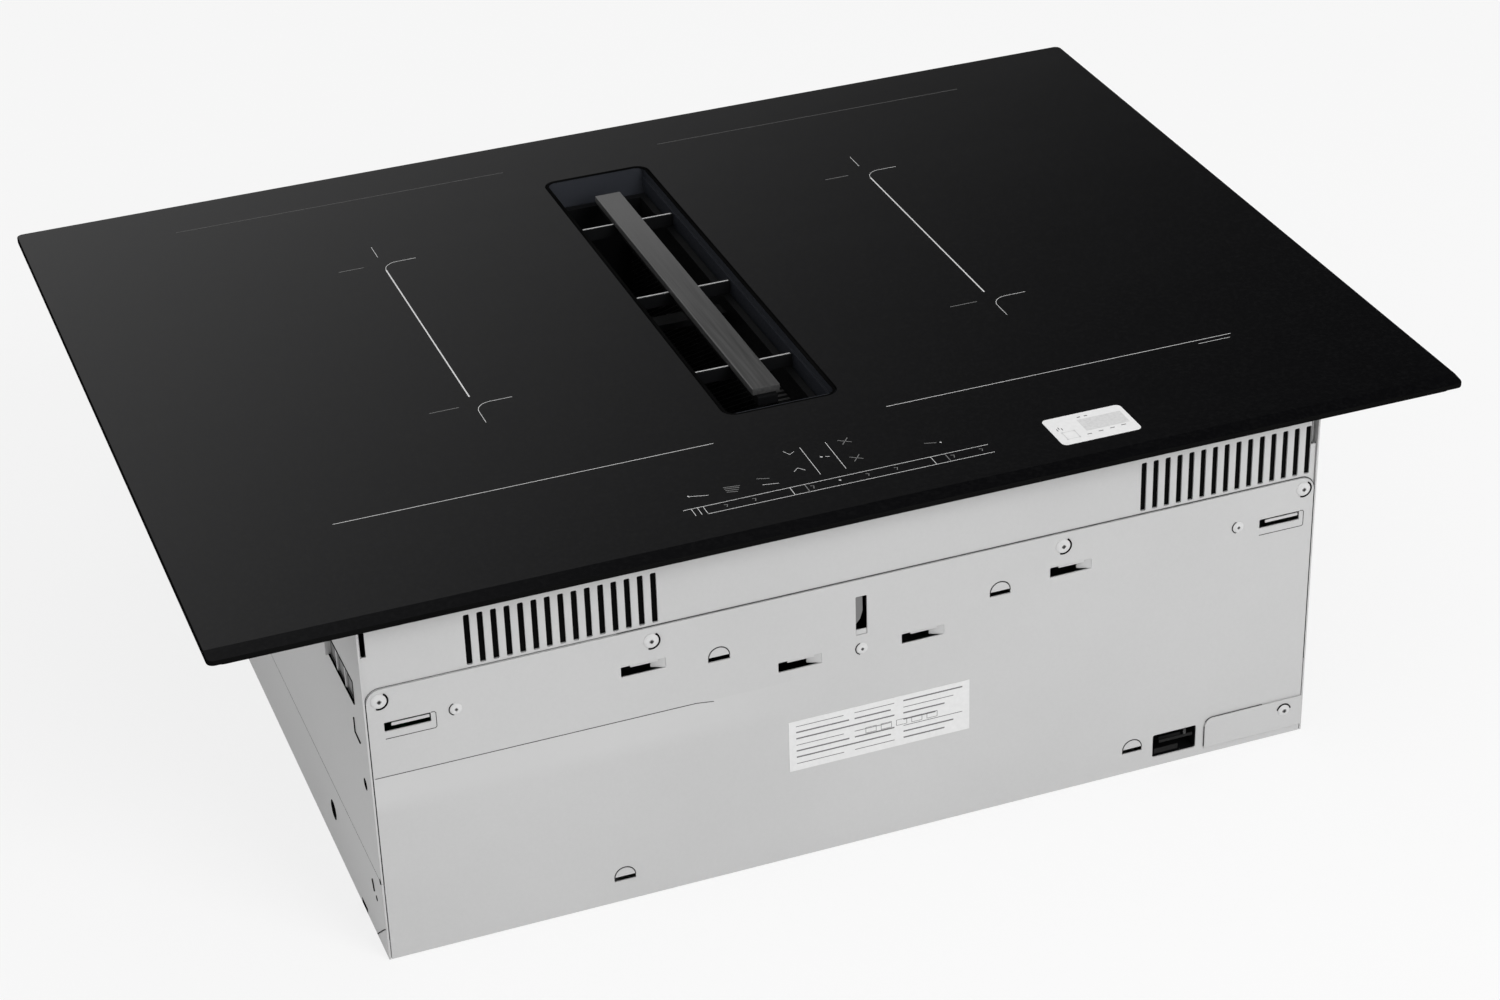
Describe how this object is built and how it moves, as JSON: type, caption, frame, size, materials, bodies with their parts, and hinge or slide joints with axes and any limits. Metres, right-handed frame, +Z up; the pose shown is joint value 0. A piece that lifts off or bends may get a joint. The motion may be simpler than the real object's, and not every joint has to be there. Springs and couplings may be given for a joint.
{
  "type": "downdraft induction cooktop",
  "caption": "Built-in induction cooktop: black glass plate with a central air slot and bar grille over a sheet-steel body with lift-out filters, extractor fan and rear duct.",
  "frame": {"origin": "on the surface that the body stands on, under the centre of the glass plate", "axes": "+X to the right of the cook, -Y towards the cook, +Z up"},
  "size_m": [0.71, 0.522, 0.2232],
  "materials": {
    "black_glass": "polished",
    "foam_tape": "matt",
    "label_paper": "satin",
    "steel_sheet": "galvanised, satin",
    "black_plastic": "fine grain",
    "filter_mesh": "expanded mesh",
    "bar_metal": "dark anodised",
    "grey_plastic": "moulded",
    "aluminium": "mill finish",
    "shaft_steel": "ground",
    "copper": "litz wire",
    "ferrite": "matt",
    "white_plastic": "moulded",
    "mica": "sheet",
    "board": "solder mask",
    "rubber": "matt"
  },
  "bodies": {
    "housing": {"glass_panel": "black_glass", "glass_seal": "foam_tape", "info_label": "label_paper", "upper_tray": "steel_sheet", "front_panel": "steel_sheet", "side_panel_left": "steel_sheet", "side_panel_right": "steel_sheet", "bottom_pan": "steel_sheet", "rear_panel": "steel_sheet", "corner_cover": "steel_sheet", "rating_plate": "label_paper", "aux_socket": "black_plastic", "inlet_collar": "black_plastic", "air_box": "black_plastic", "fan_intake": "black_plastic", "air_box_lid": "black_plastic", "scroll_base": "grey_plastic", "scroll_lid": "grey_plastic", "extractor_motor": "aluminium", "outlet_collar": "black_plastic", "coil_front_left": "copper", "coil_carrier_front_left": "ferrite", "coil_sensor_front_left": "white_plastic", "coil_rear_left": "copper", "coil_carrier_rear_left": "ferrite", "coil_sensor_rear_left": "white_plastic", "coil_support_left": "aluminium", "mica_sheet_left": "mica", "power_board_left": "board", "heat_sink_left": "aluminium", "cooling_fan_frame_left": "black_plastic", "coil_front_right": "copper", "coil_carrier_front_right": "ferrite", "coil_sensor_front_right": "white_plastic", "coil_rear_right": "copper", "coil_carrier_rear_right": "ferrite", "coil_sensor_rear_right": "white_plastic", "coil_support_right": "aluminium", "mica_sheet_right": "mica", "power_board_right": "board", "heat_sink_right": "aluminium", "cooling_fan_frame_right": "black_plastic", "touch_holder": "black_plastic", "touch_board": "board", "mains_filter_board": "board", "fan_control_board": "board", "terminal_block": "white_plastic", "terminal_cover": "steel_sheet", "cable_grommet": "rubber"},
    "filter_unit": {"filter_basket": "black_plastic", "grease_filter_left": "filter_mesh", "grease_filter_right": "filter_mesh"},
    "grille": {"inlet_grille": "bar_metal"},
    "extractor_rotor": {"impeller": "grey_plastic", "impeller_shaft": "shaft_steel"},
    "cooling_rotor_left": {"cooling_fan_rotor_left": "black_plastic"},
    "cooling_rotor_right": {"cooling_fan_rotor_right": "black_plastic"},
    "overflow_cup": {"overflow_container": "grey_plastic"},
    "screw_ring": {"overflow_ring": "black_plastic"}
  },
  "joints": [
    {"name": "filter_lift", "type": "slide", "parent": "housing", "child": "filter_unit", "axis": [0, 0, 1], "range_m": [0, 0.17]},
    {"name": "grille_lift", "type": "slide", "parent": "filter_unit", "child": "grille", "axis": [0, 0, 1], "range_m": [0, 0.05]},
    {"name": "extractor_spin", "type": "hinge", "parent": "housing", "child": "extractor_rotor", "pos_m": [0.16787, 0.02, 0.075], "axis": [0, 0, 1], "continuous": true},
    {"name": "cooling_spin_left", "type": "hinge", "parent": "housing", "child": "cooling_rotor_left", "pos_m": [-0.167, -0.1997, 0.188], "axis": [0, 0, 1], "continuous": true},
    {"name": "cooling_spin_right", "type": "hinge", "parent": "housing", "child": "cooling_rotor_right", "pos_m": [0.219, -0.1997, 0.188], "axis": [0, 0, 1], "continuous": true},
    {"name": "overflow_drop", "type": "slide", "parent": "housing", "child": "overflow_cup", "axis": [0, 0, -1], "range_m": [0, 0.06]},
    {"name": "ring_unscrew", "type": "hinge", "parent": "overflow_cup", "child": "screw_ring", "pos_m": [0, 0.032, 0.03], "axis": [0, 0, -1], "range_deg": [0, 60]}
  ]
}
